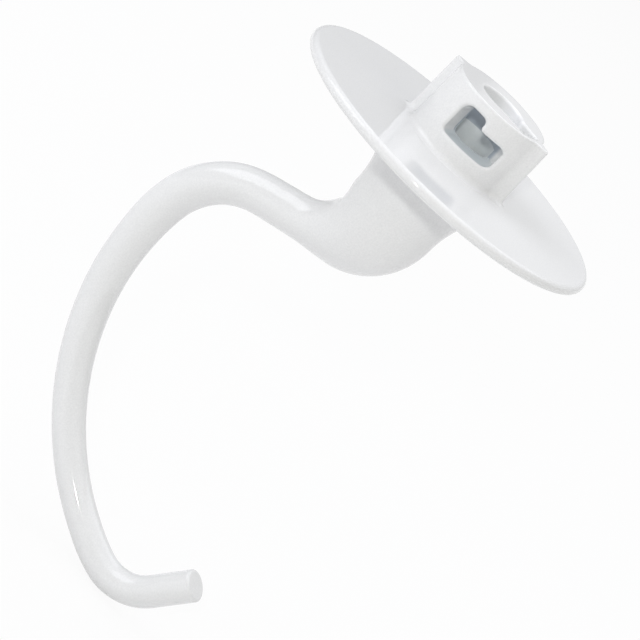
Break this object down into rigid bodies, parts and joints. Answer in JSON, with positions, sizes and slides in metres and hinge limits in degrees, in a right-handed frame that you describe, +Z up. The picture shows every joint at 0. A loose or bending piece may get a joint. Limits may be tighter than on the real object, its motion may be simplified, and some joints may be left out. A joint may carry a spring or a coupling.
{
  "type": "stand mixer dough hook",
  "caption": "Cast dough hook for a stand mixer: a tapering round rod bent into a C below a disc collar, with a slotted socket hub above that locks onto the drive shaft.",
  "frame": {"origin": "on the shaft bore's axis, level with the top face of the collar", "axes": "+Z runs up the bore and out of its mouth; the hook hangs below in the XZ plane, with its belly toward -X and its tip toward +X"},
  "size_m": [0.1016, 0.095, 0.1719],
  "materials": {
    "dough_hook": "glossy white coat over cast aluminium"
  },
  "bodies": {
    "root": {"dough_hook": "dough_hook"}
  },
  "joints": []
}
